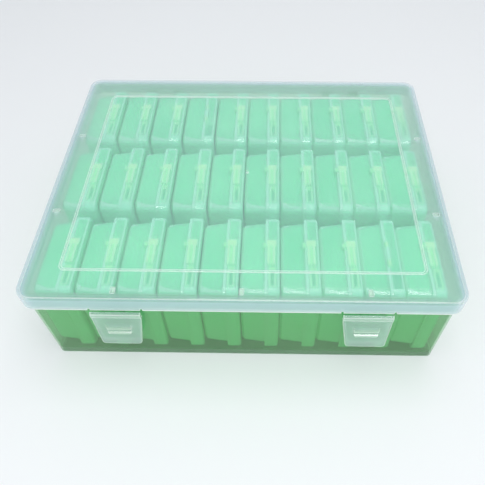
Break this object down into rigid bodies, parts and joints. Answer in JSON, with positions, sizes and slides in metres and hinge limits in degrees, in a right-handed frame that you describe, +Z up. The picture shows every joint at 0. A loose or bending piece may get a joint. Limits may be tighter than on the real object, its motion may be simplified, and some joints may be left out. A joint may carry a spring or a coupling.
{
  "type": "bobbin box",
  "caption": "Clear rectangular storage case with a hinged snap-latched lid, packed with rows of small green flip-lid boxes standing on edge for bobbins and notions.",
  "frame": {"origin": "middle of the footprint, latches and rear hinge included, on the surface the case stands on", "axes": "+Z up, -Y towards the front with the latches, +X to the right seen from the front"},
  "size_m": [0.266, 0.222, 0.076],
  "materials": {
    "case_plastic": "clear, slightly frosted polypropylene, glossy",
    "latch_plastic": "milky clear polypropylene, satin",
    "box_plastic": "translucent green polypropylene, satin",
    "box_lid_plastic": "translucent green polypropylene, satin"
  },
  "bodies": {
    "base": {"case_base": "case_plastic", "box_body_front_1": "box_plastic", "box_body_front_2": "box_plastic", "box_body_front_3": "box_plastic", "box_body_front_4": "box_plastic", "box_body_front_5": "box_plastic", "box_body_front_6": "box_plastic", "box_body_front_7": "box_plastic", "box_body_front_8": "box_plastic", "box_body_front_9": "box_plastic", "box_body_front_10": "box_plastic", "box_body_middle_1": "box_plastic", "box_body_middle_2": "box_plastic", "box_body_middle_3": "box_plastic", "box_body_middle_4": "box_plastic", "box_body_middle_5": "box_plastic", "box_body_middle_6": "box_plastic", "box_body_middle_7": "box_plastic", "box_body_middle_8": "box_plastic", "box_body_middle_9": "box_plastic", "box_body_middle_10": "box_plastic", "box_body_back_1": "box_plastic", "box_body_back_2": "box_plastic", "box_body_back_3": "box_plastic", "box_body_back_4": "box_plastic", "box_body_back_5": "box_plastic", "box_body_back_6": "box_plastic", "box_body_back_7": "box_plastic", "box_body_back_8": "box_plastic", "box_body_back_9": "box_plastic", "box_body_back_10": "box_plastic", "box_lids_column_1": "box_lid_plastic", "box_lids_column_2": "box_lid_plastic", "box_lids_column_3": "box_lid_plastic", "box_lids_column_4": "box_lid_plastic", "box_lids_column_5": "box_lid_plastic", "box_lids_column_6": "box_lid_plastic", "box_lids_column_7": "box_lid_plastic", "box_lids_column_8": "box_lid_plastic", "box_lids_column_9": "box_lid_plastic", "box_lids_column_10": "box_lid_plastic"},
    "lid": {"case_lid": "case_plastic"},
    "left_latch": {"latch_left": "latch_plastic"},
    "right_latch": {"latch_right": "latch_plastic"}
  },
  "joints": [
    {"name": "lid_swing", "type": "hinge", "parent": "base", "child": "lid", "pos_m": [0, 0.1088, 0.0633], "axis": [-1, 0, 0], "range_deg": [0, 180]},
    {"name": "left_latch_swing", "type": "hinge", "parent": "lid", "child": "left_latch", "pos_m": [-0.076, -0.1094, 0.0622], "axis": [-1, 0, 0], "range_deg": [0, 135]},
    {"name": "right_latch_swing", "type": "hinge", "parent": "lid", "child": "right_latch", "pos_m": [0.076, -0.1094, 0.0622], "axis": [-1, 0, 0], "range_deg": [0, 135]}
  ]
}
